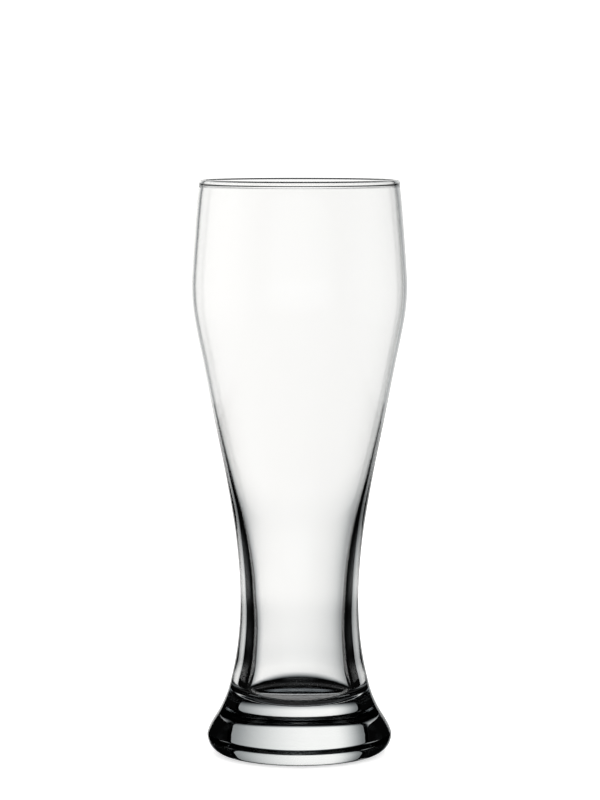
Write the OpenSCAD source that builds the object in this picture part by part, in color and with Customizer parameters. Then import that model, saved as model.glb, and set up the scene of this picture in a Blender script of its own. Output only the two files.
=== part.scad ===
// Weizen glass: one piece of clear moulded glass with a thick solid foot,
// a narrow waist and a tall bowl that is widest high up and closes a little to the rim.
// The origin is at the middle of the foot, on the surface the glass stands on.

/* [Body] */
// Height from the table to the top of the rim
height = 222; // [205:1:245]
// Outer diameter at the rim
rim_d = 77.2; // [70:0.2:82]
// Outer diameter of the belly, the widest part of the bowl
belly_d = 83.2; // [76:0.2:92]
// Height of the belly above the table
belly_z = 180; // [168:1:190]
// Outer diameter at the waist, where the hand holds the glass
waist_d = 45.9; // [43:0.1:56]
// Height of the waist above the table
waist_z = 59; // [54:1:66]

/* [Foot] */
// Largest diameter of the foot
foot_d = 71.7; // [64:0.1:80]
// Height of the foot's largest diameter above the table
foot_z = 7.2; // [5:0.1:9]
// How far the rounded heel turns in from the foot's largest radius to the resting ring
heel_turn = 7.2; // [4:0.1:9]
// Width of the flat ring that the glass rests on
ring_w = 1.25; // [1:0.05:4]
// Rise of the shallow hollow under the foot
hollow_h = 1.1; // [0.2:0.1:3]

/* [Rim bead] */
// Diameter of the rounded bead that ends the rim
bead_d = 2.1; // [1.6:0.05:3.2]
// Height of the bead, from the top of the glass down to its neck
bead_h = 2.6; // [2:0.1:4]

/* [Wall] */
// Wall at the bead's neck
rim_wall = 1.5; // [1.1:0.05:3]
// Wall at the belly
belly_wall = 1.2; // [0.9:0.05:3]
// Wall of the cone between the waist and the belly, where the glass is thinnest
cone_wall = 1.05; // [0.8:0.05:3]
// Height of that thinnest place above the table
cone_z = 150; // [140:1:160]
// Wall at the waist
waist_wall = 5; // [3.5:0.1:7]
// Wall beside the bottom of the cavity
foot_wall = 6.85; // [5:0.05:9]
// Height above the table where that wall is measured
foot_wall_z = 32; // [30:1:38]

/* [Cavity bottom] */
// Height of the cavity's lowest point above the table
floor_z = 17.6; // [14:0.1:20]
// Height over which the cavity's wall turns into its floor
bowl_h = 8.9; // [6:0.1:12]

/* [Hidden] */

foot_r = foot_d / 2;
waist_r = waist_d / 2;
belly_r = belly_d / 2;
rim_r = rim_d / 2;
ring_r = foot_r - heel_turn;
hollow_r = ring_r - ring_w;
lip_r = bead_d / 2;
lip_z = height - lip_r;
neck_z = height - bead_h;

// Between two sizes the outline's points are [share of the height, share of the change in radius].
// From the foot's largest radius up to the waist
flare_shares = [[0.048, 0.056], [0.10, 0.163], [0.18, 0.362], [0.295, 0.579], [0.45, 0.753], [0.675, 0.917]];
// From the waist up to the belly
cone_shares = [[0.17, 0.059], [0.38, 0.266], [0.585, 0.531], [0.775, 0.774], [0.865, 0.895], [0.935, 0.971]];
// From the belly up to the bead's neck
crown_shares = [[0.25, 0.144], [0.5, 0.378], [0.8, 0.692], [0.94, 0.879]];

// Between two walls the points are [share of the height, share of the change in wall].
// From the foot's wall up to the waist's
foot_wall_shares = [[0.22, 0.25], [0.44, 0.46], [0.66, 0.66], [0.87, 0.87]];
// From the waist's wall up to the cone's
cone_wall_shares = [[0.12, 0.09], [0.29, 0.30], [0.5, 0.68], [0.73, 0.90]];
// From the belly's wall up to the neck's
rim_wall_shares = [[0.45, 0.4], [0.66, 0.75], [0.85, 1], [0.96, 1]];
// From the neck's wall up to the bead's full thickness
bead_shares = [[0.36, 0.13], [0.62, 0.69]];

// Shares of the cavity bottom's curve: how far its two ends run straight before they turn
wall_run_share = 0.6;
floor_run_share = 0.825;

// Steps in each stretch of a curve, and facets round the glass
span_steps = 7;
arc_steps = 12;
round_fn = 180;

// Points between a and b at the given shares of the way
function between(a, b, shares) = [for (s = shares) [a.x + (b.x - a.x) * s.x, a.y + (b.y - a.y) * s.y]];

// Outline of the outside as [height, radius], from the foot's largest radius to the rim's lip
outer_stations = concat(
    [[foot_z, foot_r]],
    between([foot_z, foot_r], [waist_z, waist_r], flare_shares),
    [[waist_z, waist_r]],
    between([waist_z, waist_r], [belly_z, belly_r], cone_shares),
    [[belly_z, belly_r]],
    between([belly_z, belly_r], [neck_z, rim_r], crown_shares),
    [[neck_z, rim_r]],
    [[lip_z, rim_r]]
);

// Wall as [height, thickness], from below the cavity's turn to the rim's lip
wall_stations = concat(
    [[floor_z, foot_wall]],
    [[foot_wall_z, foot_wall]],
    between([foot_wall_z, foot_wall], [waist_z, waist_wall], foot_wall_shares),
    [[waist_z, waist_wall]],
    between([waist_z, waist_wall], [cone_z, cone_wall], cone_wall_shares),
    [[cone_z, cone_wall]],
    [[belly_z, belly_wall]],
    between([belly_z, belly_wall], [neck_z, rim_wall], rim_wall_shares),
    [[neck_z, rim_wall]],
    between([neck_z, rim_wall], [lip_z, bead_d], bead_shares),
    [[lip_z, bead_d]]
);

// Slope of a smooth curve at station i: the mean of its two neighbours' slopes, weighted by closeness,
// and none at the first and the last station
function step(p, i) = p[i + 1].x - p[i].x;
function rise(p, i) = (p[i + 1].y - p[i].y) / step(p, i);
function slope(p, i) =
    i == 0 || i == len(p) - 1 ? 0 :
    (rise(p, i - 1) * step(p, i) + rise(p, i) * step(p, i - 1)) / (step(p, i - 1) + step(p, i));

// Height of the smooth curve over the stretch from station i, at share t of the way along it
function smooth(p, i, t) =
    p[i].y * (2 * pow(t, 3) - 3 * pow(t, 2) + 1)
    + p[i + 1].y * (3 * pow(t, 2) - 2 * pow(t, 3))
    + step(p, i) * (slope(p, i) * (pow(t, 3) - 2 * pow(t, 2) + t) + slope(p, i + 1) * (pow(t, 3) - pow(t, 2)));

// The stretch that x lies in, and the curve's value there
function stretch(p, x, i = 0) = i >= len(p) - 2 || x < p[i + 1].x ? i : stretch(p, x, i + 1);
function value(p, x) = let (i = stretch(p, x)) smooth(p, i, (x - p[i].x) / step(p, i));

function outer_r(z) = value(outer_stations, z);
function inner_r(z) = outer_r(z) - value(wall_stations, z);

// Heights at which the sides are drawn: the stations of a curve with even steps between them
function heights(p) = [for (i = [0:len(p) - 2], k = [0:span_steps - 1]) p[i].x + step(p, i) * k / span_steps];

// The turn from the cavity's wall into its floor, a curve that leaves the wall along the wall
// and reaches the axis level
turn_z = floor_z + bowl_h;
turn_r = inner_r(turn_z);
wall_run = bowl_h * wall_run_share;
wall_lean = (inner_r(turn_z + wall_run) - turn_r) / wall_run;
bowl_ends = [
    [turn_r, turn_z],
    [turn_r - wall_run * wall_lean, turn_z - wall_run],
    [turn_r * floor_run_share, floor_z],
    [0, floor_z]
];
function bowl_point(t) =
    pow(1 - t, 3) * bowl_ends[0] + 3 * t * pow(1 - t, 2) * bowl_ends[1]
    + 3 * pow(t, 2) * (1 - t) * bowl_ends[2] + pow(t, 3) * bowl_ends[3];

// The outline's stretches as [radius, height], in order from the axis under the foot
under = [for (k = [0:arc_steps]) let (s = k / arc_steps) [hollow_r * s, hollow_h * (1 - pow(s, 2))]];
heel = [for (k = [0:arc_steps - 1]) let (a = 90 * k / arc_steps)
    [ring_r + heel_turn * sin(a), foot_z * (1 - cos(a))]];
side = [for (z = heights(outer_stations)) [outer_r(z), z]];
lip = [for (k = [0:arc_steps]) let (a = 180 * k / arc_steps)
    [rim_r - lip_r * (1 - cos(a)), lip_z + lip_r * sin(a)]];
cavity_heights = [for (z = heights(wall_stations)) if (z > turn_z) z];
cavity = [for (k = [len(cavity_heights) - 1:-1:0]) [inner_r(cavity_heights[k]), cavity_heights[k]]];
bowl = [for (k = [0:2 * arc_steps]) bowl_point(k / (2 * arc_steps))];

module glass() {
    color("aliceblue")
        rotate_extrude($fn = round_fn)
            polygon(concat(under, heel, side, lip, cavity, bowl));
}

glass();
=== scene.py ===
# A tall clear weizen glass on a white table, lit from behind by a bright window of soft light.
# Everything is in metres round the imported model: +Z up, the origin in the middle of the foot.
import math
import bpy
import numpy as np
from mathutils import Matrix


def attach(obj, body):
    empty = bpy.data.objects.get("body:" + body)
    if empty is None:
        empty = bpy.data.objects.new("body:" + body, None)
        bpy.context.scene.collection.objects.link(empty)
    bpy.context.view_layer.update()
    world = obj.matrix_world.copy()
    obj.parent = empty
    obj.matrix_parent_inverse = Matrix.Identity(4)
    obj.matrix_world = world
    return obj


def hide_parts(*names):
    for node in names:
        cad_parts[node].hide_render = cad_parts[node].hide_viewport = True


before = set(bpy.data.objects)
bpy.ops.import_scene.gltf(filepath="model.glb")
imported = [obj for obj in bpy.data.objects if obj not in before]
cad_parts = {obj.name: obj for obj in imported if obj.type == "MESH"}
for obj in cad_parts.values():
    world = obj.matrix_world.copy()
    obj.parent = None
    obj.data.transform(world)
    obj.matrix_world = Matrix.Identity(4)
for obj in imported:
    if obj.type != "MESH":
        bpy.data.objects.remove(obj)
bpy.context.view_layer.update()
print("frame loaded:", sorted(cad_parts))

mm = 0.001


class Socket:
    # One number or colour socket, so that shader maths reads as Python sums.
    def __init__(self, tree, out):
        self.tree = tree
        self.out = out

    def mathNode(self, operation, *values):
        node = self.tree.nodes.new("ShaderNodeMath")
        node.operation = operation
        for slot, value in zip(node.inputs, values):
            if isinstance(value, Socket):
                self.tree.links.new(value.out, slot)
            else:
                slot.default_value = value
        return Socket(self.tree, node.outputs[0])

    def __add__(self, other): return self.mathNode("ADD", self, other)
    def __radd__(self, other): return self.mathNode("ADD", other, self)
    def __sub__(self, other): return self.mathNode("SUBTRACT", self, other)
    def __rsub__(self, other): return self.mathNode("SUBTRACT", other, self)
    def __mul__(self, other): return self.mathNode("MULTIPLY", self, other)
    def __rmul__(self, other): return self.mathNode("MULTIPLY", other, self)
    def __pow__(self, other): return self.mathNode("POWER", self, other)


class Shader:
    # The node tree of a material, a lamp or the world, emptied, with one method that adds any node.
    def __init__(self, owner):
        owner.use_nodes = True
        self.tree = owner.node_tree
        self.tree.nodes.clear()

    def add(self, kind, settings=None, **values):
        # A value goes by its socket's name, with _ for a space, or by i and the socket's number.
        node = self.tree.nodes.new("ShaderNode" + kind)
        for name, value in (settings or {}).items():
            setattr(node, name, value)
        for name, value in values.items():
            slot = node.inputs[int(name[1:])] if name[1:].isdigit() else node.inputs[name.replace("_", " ")]
            if isinstance(value, Socket):
                self.tree.links.new(value.out, slot)
            else:
                slot.default_value = value
        return node

    def out(self, node, socket=0):
        return Socket(self.tree, node.outputs[socket])

    def noise(self, where, size, detail):
        # Noise from -0.5 to 0.5 whose grain is size metres along each axis.
        scaled = self.add("VectorMath", {"operation": "DIVIDE"}, i0=where, i1=size)
        return self.out(self.add("TexNoise", Vector=self.out(scaled), Scale=1.0, Detail=detail)) - 0.5

    def fade(self, share, width, start=0.0):
        # Rises smoothly from start to 1 over the given width.
        return self.out(self.add("MapRange", {"interpolation_type": "SMOOTHSTEP"}, Value=share,
                                 From_Max=width, To_Min=start))

    def end(self, node, kind="OutputMaterial"):
        output = self.tree.nodes.new("ShaderNode" + kind)
        self.tree.links.new(node.outputs[0], output.inputs["Surface"])
        return output


# The glass, in millimetres.
glass = {
    "height": 222, "rimWidth": 77.2, "bellyWidth": 83.2, "bellyHeight": 180,
    "waistWidth": 45.9, "waistHeight": 59, "footWidth": 71.7, "footHeight": 7.2,
    "heelTurn": 7.2, "ringWidth": 1.25, "hollow": 1.1,
    "beadWidth": 2.1, "beadHeight": 2.6,
    "rimWall": 1.5, "bellyWall": 1.2, "coneWall": 1.05, "coneHeight": 150,
    "waistWall": 5, "footWall": 6.85, "footWallHeight": 32,
    "floorHeight": 17.6, "bowlHeight": 8.9,
    "segments": 256,
    # points along each stretch of the outline, its two ends included
    "points": {"under": 22, "heel": 25, "flare": 48, "side": 74, "bead": 18, "lip": 17, "cavity": 78, "bowl": 34},
    # each pair is a share of the way up and a share of the way across, between two of the sizes above
    "flare": [(0.048, 0.056), (0.10, 0.163), (0.18, 0.362), (0.295, 0.579), (0.45, 0.753), (0.675, 0.917)],
    "cone": [(0.17, 0.059), (0.38, 0.266), (0.585, 0.531), (0.775, 0.774), (0.865, 0.895), (0.935, 0.971)],
    "crown": [(0.25, 0.144), (0.5, 0.378), (0.8, 0.692), (0.94, 0.879)],
    "footWallTurn": [(0.22, 0.25), (0.44, 0.46), (0.66, 0.66), (0.87, 0.87)],
    "coneWallTurn": [(0.12, 0.09), (0.29, 0.30), (0.5, 0.68), (0.73, 0.90)],
    "rimWallTurn": [(0.45, 0.4), (0.66, 0.75), (0.85, 1), (0.96, 1)],
    "beadTurn": [(0.36, 0.13), (0.62, 0.69)],
    "wallRun": 0.6, "floorRun": 0.825,
}


def smoothCurve(stations):
    # A cubic through [height, value] stations. Its slope is none at both ends and in between the mean of
    # the neighbours' slopes, weighted by closeness.
    p = np.array(stations, float)
    step = np.diff(p[:, 0])
    rise = np.diff(p[:, 1]) / step
    slope = np.zeros(len(p))
    slope[1:-1] = (rise[:-1] * step[1:] + rise[1:] * step[:-1]) / (step[:-1] + step[1:])

    def value(x):
        x = np.asarray(x, float)
        i = np.clip(np.searchsorted(p[:, 0], x, side="right") - 1, 0, len(step) - 1)
        t = (x - p[i, 0]) / step[i]
        return (p[i, 1] * (2 * t**3 - 3 * t**2 + 1) + p[i + 1, 1] * (3 * t**2 - 2 * t**3)
                + step[i] * (slope[i] * (t**3 - 2 * t**2 + t) + slope[i + 1] * (t**3 - t**2)))
    return value


def between(a, b, shares):
    # Points at the given shares of the way from a to b.
    return [(a[0] + (b[0] - a[0]) * s, a[1] + (b[1] - a[1]) * t) for s, t in shares]


def glassProfile(g):
    # The outline as rows of [radius, height], from the axis under the foot, round the heel, up the outside,
    # over the bead and down the inside to the axis again. The hollow under the foot is a parabola, the heel
    # and the bead are arcs, the inside is the outside less the wall, and the cavity's bottom is a Bezier
    # curve that leaves the wall along the wall and reaches the axis level.
    lipR = g["beadWidth"] / 2
    lipZ = g["height"] - lipR
    neckZ = g["height"] - g["beadHeight"]
    foot = (g["footHeight"], g["footWidth"] / 2)
    waist = (g["waistHeight"], g["waistWidth"] / 2)
    belly = (g["bellyHeight"], g["bellyWidth"] / 2)
    rim = (lipZ, g["rimWidth"] / 2)
    neck = (neckZ, rim[1])
    outside = smoothCurve([foot, *between(foot, waist, g["flare"]), waist, *between(waist, belly, g["cone"]),
                           belly, *between(belly, neck, g["crown"]), neck, rim])
    wallFoot = (g["footWallHeight"], g["footWall"])
    wallWaist = (waist[0], g["waistWall"])
    wallCone = (g["coneHeight"], g["coneWall"])
    wallBelly = (belly[0], g["bellyWall"])
    wallNeck = (neckZ, g["rimWall"])
    wallLip = (lipZ, g["beadWidth"])
    wall = smoothCurve([(g["floorHeight"], g["footWall"]), wallFoot,
                        *between(wallFoot, wallWaist, g["footWallTurn"]), wallWaist,
                        *between(wallWaist, wallCone, g["coneWallTurn"]), wallCone, wallBelly,
                        *between(wallBelly, wallNeck, g["rimWallTurn"]), wallNeck,
                        *between(wallNeck, wallLip, g["beadTurn"]), wallLip])
    ringR = foot[1] - g["heelTurn"]
    hollowR = ringR - g["ringWidth"]

    n = g["points"]
    s = np.linspace(0, 1, n["under"])
    under = np.stack([hollowR * s, g["hollow"] * (1 - s**2)], 1)
    a = np.linspace(0, math.pi / 2, n["heel"])[:-1]
    heel = np.stack([ringR + g["heelTurn"] * np.sin(a), foot[0] * (1 - np.cos(a))], 1)
    flareTop = g["footWallHeight"]
    beadStart = neckZ - g["beadHeight"] / 2
    z = np.concatenate([np.linspace(foot[0], flareTop, n["flare"])[:-1],
                        np.linspace(flareTop, beadStart, n["side"])[:-1],
                        np.linspace(beadStart, lipZ, n["bead"])[:-1]])
    side = np.stack([outside(z), z], 1)
    a = np.linspace(0, math.pi, n["lip"])
    lip = np.stack([rim[1] - lipR * (1 - np.cos(a)), lipZ + lipR * np.sin(a)], 1)

    turnZ = g["floorHeight"] + g["bowlHeight"]
    turnR = float(outside(turnZ) - wall(turnZ))
    run = g["bowlHeight"] * g["wallRun"]
    lean = (float(outside(turnZ + run) - wall(turnZ + run)) - turnR) / run
    z = np.concatenate([np.linspace(lipZ, beadStart, n["bead"])[1:-1],
                        np.linspace(beadStart, turnZ, n["cavity"])[:-1]])
    cavity = np.stack([outside(z) - wall(z), z], 1)
    ends = np.array([(turnR, turnZ), (turnR - run * lean, turnZ - run),
                     (turnR * g["floorRun"], g["floorHeight"]), (0, g["floorHeight"])])
    t = np.linspace(0, 1, n["bowl"])[:, None]
    bowl = (1 - t)**3 * ends[0] + 3 * t * (1 - t)**2 * ends[1] + 3 * t**2 * (1 - t) * ends[2] + t**3 * ends[3]
    return np.concatenate([under, heel, side, lip, cavity, bowl])


def latheMesh(name, profile, segments):
    # Each profile point is carried round the axis: x = radius times sine, y = minus radius times cosine.
    # The first and last point lie on the axis, so each is one vertex with a fan of triangles.
    inner = profile[1:-1]
    turn = np.arange(segments) * (2 * math.pi / segments)
    ring = np.stack([np.outer(inner[:, 0], np.sin(turn)), -np.outer(inner[:, 0], np.cos(turn)),
                     np.repeat(inner[:, 1:2], segments, 1)], 2).reshape(-1, 3)
    points = np.concatenate([ring, [(0, 0, profile[0, 1])], [(0, 0, profile[-1, 1])]])
    rows, here = len(inner), np.arange(segments)
    after = (here + 1) % segments
    low = (np.arange(rows - 1) * segments)[:, None]
    quads = np.stack([low + here, low + after, low + segments + after, low + segments + here], 2).reshape(-1, 4)
    first, last = rows * segments, rows * segments + 1
    top = (rows - 1) * segments
    startFan = np.stack([np.full(segments, first), after, here], 1)
    endFan = np.stack([np.full(segments, last), top + here, top + after], 1)
    mesh = bpy.data.meshes.new(name)
    mesh.from_pydata(points.tolist(), [], quads.tolist() + startFan.tolist() + endFan.tolist())
    mesh.polygons.foreach_set("use_smooth", np.ones(len(mesh.polygons), bool))
    mesh.update()
    return mesh


def place(name, mesh, material):
    obj = bpy.data.objects.new(name, mesh)
    bpy.context.scene.collection.objects.link(obj)
    mesh.materials.append(material)
    return obj


# Clear glass keeps a little of the light over its thick parts, and its moulded surface is very slightly
# uneven: slow swells all over, finer ripples across the foot, and a polish that varies a little.
clearGlass = {
    "colour": (1, 1, 1, 1), "index": 1.52,
    "kept": (0.0, 0.12, 0.12, 1), "density": 2.3,
    "swellSize": 0.022, "swellDepth": 0.000006, "rippleSize": (0.02, 0.02, 0.0016), "rippleDepth": 0.0000004,
    "unevenDetail": 2, "polish": (0.0, 0.003), "polishSize": 0.03, "polishDetail": 3,
}


def glassMaterial(g):
    material = bpy.data.materials.new("clearGlass")
    shader = Shader(material)
    where = shader.out(shader.add("TexCoord"), "Object")
    swell = shader.noise(where, (g["swellSize"],) * 3, g["unevenDetail"])
    ripple = shader.noise(where, g["rippleSize"], g["unevenDetail"])
    bump = shader.add("Bump", Strength=1.0, Distance=1.0,
                      Height=swell * g["swellDepth"] + ripple * g["rippleDepth"])
    low, high = g["polish"]
    polish = shader.noise(where, (g["polishSize"],) * 3, g["polishDetail"]) * (high - low) + low
    surface = shader.add("BsdfPrincipled", Base_Color=g["colour"], Roughness=polish, IOR=g["index"],
                         Transmission_Weight=1.0, Normal=shader.out(bump))
    output = shader.end(surface)
    inside = shader.add("VolumeAbsorption", Color=g["kept"], Density=g["density"])
    shader.tree.links.new(inside.outputs[0], output.inputs["Volume"])
    return material


glassPiece = place("weizen_glass", latheMesh("weizen_glass", glassProfile(glass) * mm, glass["segments"]),
                   glassMaterial(clearGlass))
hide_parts("glass")
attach(glassPiece, "root")
print("glass made:", len(glassPiece.data.polygons), "faces")


# The camera, in metres and degrees. Its focal length and offset are in pixels of the photograph, whose long
# side is 800.
view = {"distance": 1.243, "height": 0.24705, "pitch": 5.05, "focal": 3235.5, "long": 800, "sensor": 36,
        "offset": 0.65}
cameraData = bpy.data.cameras.new("camera")
cameraData.sensor_width = view["sensor"]
cameraData.lens = view["focal"] * view["sensor"] / view["long"]
cameraData.shift_x = view["offset"] / view["long"]
camera = bpy.data.objects.new("camera", cameraData)
camera.location = (0, -view["distance"], view["height"])
camera.rotation_euler = (math.radians(90 - view["pitch"]), 0, 0)
bpy.context.scene.collection.objects.link(camera)
bpy.context.scene.camera = camera
print("camera set")


room = {"tableRadius": 9, "tableDrop": 0.0001, "tableSegments": 128, "tableColour": (0.9, 0.9, 0.9, 1),
        "tableRoughness": 0.6, "tableGlow": 0.6, "backdropLevel": 1.17, "backdropColour": (1, 1, 1, 1),
        "lightColour": (1, 0.995, 0.979, 1), "dimColour": (0.91, 1, 1.045, 1), "dimShare": 0.5,
        "stand": (0, -0.026, -1.25)}


def discMesh(name, radius, z, segments):
    # A flat disc at height z: x = radius times cosine, y = radius times sine.
    turn = np.arange(segments) * (2 * math.pi / segments)
    points = np.stack([radius * np.cos(turn), radius * np.sin(turn), np.full(segments, z)], 1)
    mesh = bpy.data.meshes.new(name)
    mesh.from_pydata(points.tolist(), [], [list(range(segments))])
    return mesh


def tableMaterial(r):
    material = bpy.data.materials.new("whiteTable")
    shader = Shader(material)
    shader.end(shader.add("BsdfPrincipled", Base_Color=r["tableColour"], Roughness=r["tableRoughness"],
                          Emission_Color=r["backdropColour"], Emission_Strength=r["tableGlow"]))
    return material


table = place("table", discMesh("table", room["tableRadius"], -room["tableDrop"], room["tableSegments"]),
              tableMaterial(room))
table.visible_transmission = False
table.visible_glossy = False

backdrop = bpy.data.worlds.new("backdrop")
bpy.context.scene.world = backdrop
sky = Shader(backdrop)
sky.end(sky.add("Background", Color=room["backdropColour"], Strength=room["backdropLevel"]), "OutputWorld")
backdrop.cycles_visibility.transmission = False
backdrop.cycles_visibility.glossy = False

# The soft lights and black cards that the glass shows hang on one stand that goes round with the camera,
# as in a turntable studio. On the stand X is right, Y up and -Z away from the camera, in metres from the
# middle of the glass.
stand = bpy.data.objects.new("light_stand", None)
bpy.context.scene.collection.objects.link(stand)
stand.parent = camera
stand.location = room["stand"]

# A soft box is as wide and high as its edges say. Its light fades out towards each edge over a share of
# the box: left, right, bottom and top as seen from the glass. Some of it may be left at its two ends, so
# that they show crisply in the foot. It turns a little cooler as it fades.
softBoxes = {
    "window_back": {"centre": (0.075, 0.325, -3), "size": (3.85, 3.35), "turn": (180, 0), "level": 1.16,
                    "fade": (0.294, 0.584, 0.31, 0.27), "ends": (0.2, 0.3)},
    "wall_left": {"centre": (-1.2, 0.2, -0.22), "size": (3.1, 1.8), "turn": (180, 90), "level": 0.88,
                  "fade": (0.85, 0.08, 0.4, 0.4)},
    "wall_right": {"centre": (1.2, 0.2, -0.05), "size": (2.9, 1.8), "turn": (180, -90), "level": 0.6,
                   "fade": (0.15, 0.85, 0.4, 0.4)},
    "front": {"centre": (0, -0.16, 1.2), "size": (2.2, 0.5), "turn": (180, 180), "level": 0.3,
              "colour": (0.88, 0.95, 1, 1), "fade": (0.3, 0.3, 0.3, 0.3)},
    "top": {"centre": (0, 0.9, -0.225), "size": (1.2, 1.25), "turn": (-90, 0), "level": 0.35,
            "colour": (0.88, 0.95, 1, 1), "fade": (0.3, 0.3, 0.5, 0.3)},
}


def throughGlassOnly(obj):
    # It shows in and through the glass, and nowhere else.
    obj.visible_camera = False
    obj.visible_diffuse = False
    obj.visible_shadow = False
    obj.visible_volume_scatter = False


def softBox(name, b):
    light = bpy.data.lights.new(name, "AREA")
    light.shape = "RECTANGLE"
    light.size, light.size_y = b["size"]
    light.energy = math.pi * light.size * light.size_y * b["level"]  # its brightest part has that level
    shader = Shader(light)
    axes = shader.add("SeparateXYZ", Vector=shader.out(shader.add("NewGeometry"), "Parametric"))
    across, down = shader.out(axes, "X"), shader.out(axes, "Y")
    left, right, bottom, top = b["fade"]
    leftEnd, rightEnd = b.get("ends", (0.0, 0.0))
    glow = shader.fade(across, left, leftEnd) * shader.fade(1 - across, right, rightEnd) \
        * shader.fade(1 - down, bottom) * shader.fade(down, top)
    # sockets 0, 6 and 7 are the factor and the two colours, and output 2 is the mixed colour
    tint = shader.add("Mix", {"data_type": "RGBA"}, i0=glow ** room["dimShare"], i6=room["dimColour"],
                      i7=b.get("colour", room["lightColour"]))
    shader.end(shader.add("Emission", Color=shader.out(tint, 2), Strength=glow), "OutputLight")
    box = bpy.data.objects.new(name, light)
    bpy.context.scene.collection.objects.link(box)
    box.parent = stand
    box.location = b["centre"]
    box.rotation_euler = (math.radians(b["turn"][0]), math.radians(b["turn"][1]), 0)
    throughGlassOnly(box)


for name, box in softBoxes.items():
    softBox(name, box)

# Two low black cards beside the glass keep the walls out of its foot. Each stands at a place across the
# stand and reaches back as far as its second number.
cards = {"bottom": -0.4, "top": -0.008, "front": 0.14, "colour": (1, 1, 1, 1), "level": 0.002,
         "beside": {"card_left": (-0.14, -0.253), "card_right": (0.14, -0.233)}}


def plainGlow(name, colour, level):
    material = bpy.data.materials.new(name)
    shader = Shader(material)
    shader.end(shader.add("Emission", Color=colour, Strength=level))
    return material


blackCard = plainGlow("blackCard", cards["colour"], cards["level"])
low, high, front = cards["bottom"], cards["top"], cards["front"]
for name, (x, behind) in cards["beside"].items():
    corners = [(x, low, behind), (x, low, front), (x, high, front), (x, high, behind)]
    cardMesh = bpy.data.meshes.new(name)
    cardMesh.from_pydata(corners, [], [(0, 1, 2, 3)])
    card = place(name, cardMesh, blackCard)
    card.parent = stand
    throughGlassOnly(card)

# A dark disc right under the glass, seen only through its thick foot: painted shadow, standing in for the shade
# the glass casts on the table.
underFootShadow = {"radius": 0.026, "drop": 0.00005, "segments": 96, "level": 0.02}
under = place("painted_shadow_under_foot",
              discMesh("painted_shadow_under_foot", underFootShadow["radius"], -underFootShadow["drop"], underFootShadow["segments"]),
              plainGlow("paintedShadowUnderFoot", room["backdropColour"], underFootShadow["level"]))
throughGlassOnly(under)

bpy.context.scene.view_settings.view_transform = "Standard"
print("studio set")

bpy.context.view_layer.update()
